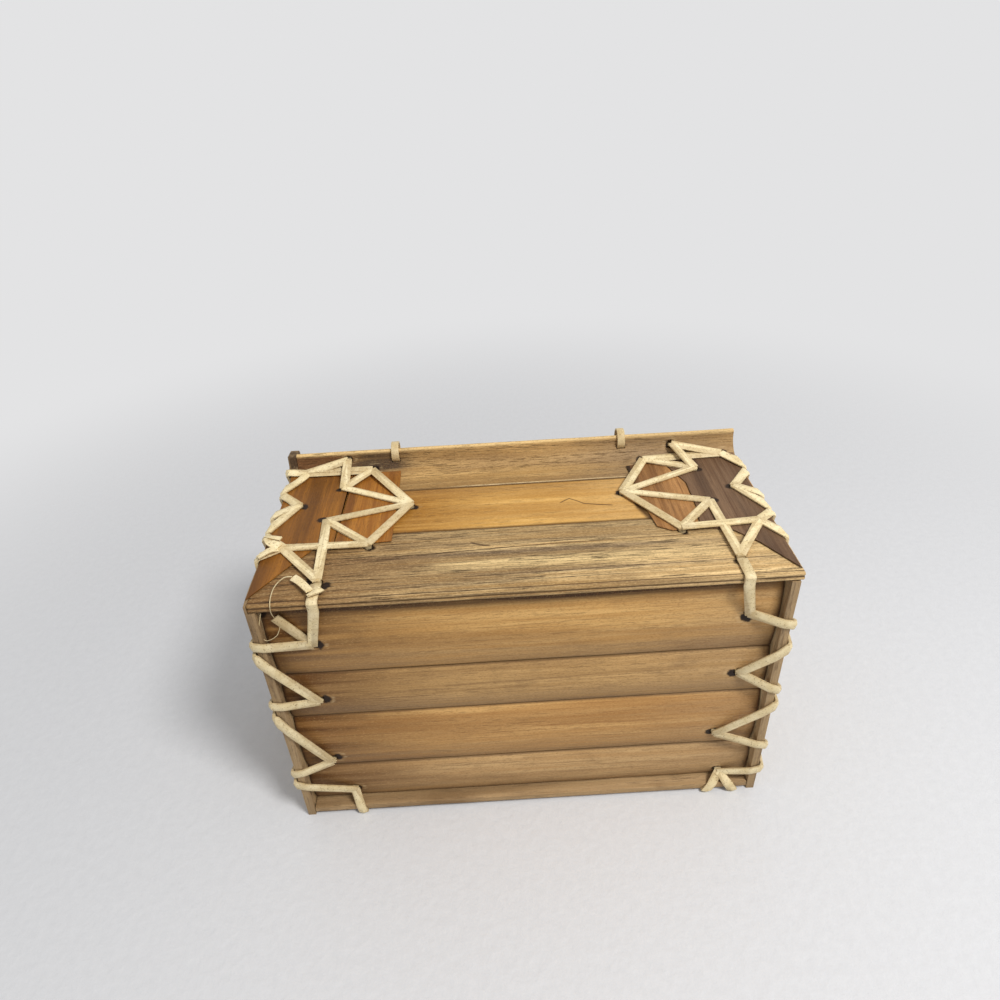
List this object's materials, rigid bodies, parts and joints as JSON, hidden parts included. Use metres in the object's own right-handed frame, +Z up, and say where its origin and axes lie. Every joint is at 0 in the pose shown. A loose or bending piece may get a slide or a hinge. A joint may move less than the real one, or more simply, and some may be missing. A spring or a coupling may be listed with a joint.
{
  "type": "bamboo tea chest",
  "caption": "Rectangular tea chest of bamboo slats laced with flat rattan strips; a raised lip at the rear carries two rattan ring hinges for a swinging rear panel.",
  "frame": {"origin": "middle of the footprint, on the surface that the chest stands on", "axes": "+X along the chest's length, to the right as seen from the front; +Y to the rear, where the lid hangs; +Z up"},
  "size_m": [0.1832, 0.0882, 0.1223],
  "materials": {
    "bamboo_top": "satin",
    "bamboo_front": "satin",
    "bamboo_plain": "matte",
    "sheath_brown": "satin",
    "sheath_amber": "satin",
    "sheath_purple": "satin",
    "rattan": "satin"
  },
  "bodies": {
    "chest": {"top_front_slat": "bamboo_top", "top_middle_slat": "bamboo_top", "top_rear_slat": "bamboo_top", "front_slat_lowest": "bamboo_front", "front_slat_lower": "bamboo_front", "front_slat_upper": "bamboo_front", "front_slat_highest": "bamboo_front", "bottom_front_slat": "bamboo_plain", "bottom_middle_slat": "bamboo_plain", "bottom_rear_slat": "bamboo_plain", "end_left_front_slat": "bamboo_plain", "end_left_middle_slat": "bamboo_plain", "end_left_rear_slat": "bamboo_plain", "end_right_front_slat": "bamboo_plain", "end_right_middle_slat": "bamboo_plain", "end_right_rear_slat": "bamboo_plain", "sheath_left_outer": "sheath_brown", "sheath_left_inner": "sheath_amber", "sheath_right_inner": "sheath_amber", "sheath_right_outer": "sheath_purple", "rattan_top_left": "rattan", "rattan_top_right": "rattan", "rattan_corner_left": "rattan", "rattan_corner_right": "rattan", "rattan_bottom_left": "rattan", "rattan_bottom_right": "rattan", "hinge_ring_left": "rattan", "hinge_ring_right": "rattan"},
    "lid": {"lid_slat_1": "bamboo_front", "lid_slat_2": "bamboo_front", "lid_slat_3": "bamboo_front", "lid_slat_4": "bamboo_front", "lid_slat_5": "bamboo_front", "lid_cleat_left": "bamboo_plain", "lid_cleat_right": "bamboo_plain", "rattan_lid_left": "rattan", "rattan_lid_right": "rattan"}
  },
  "joints": [
    {"name": "lid_hinge", "type": "hinge", "parent": "chest", "child": "lid", "pos_m": [0, 0.03945, 0.1182], "axis": [1, 0, 0], "range_deg": [0, 110]}
  ]
}
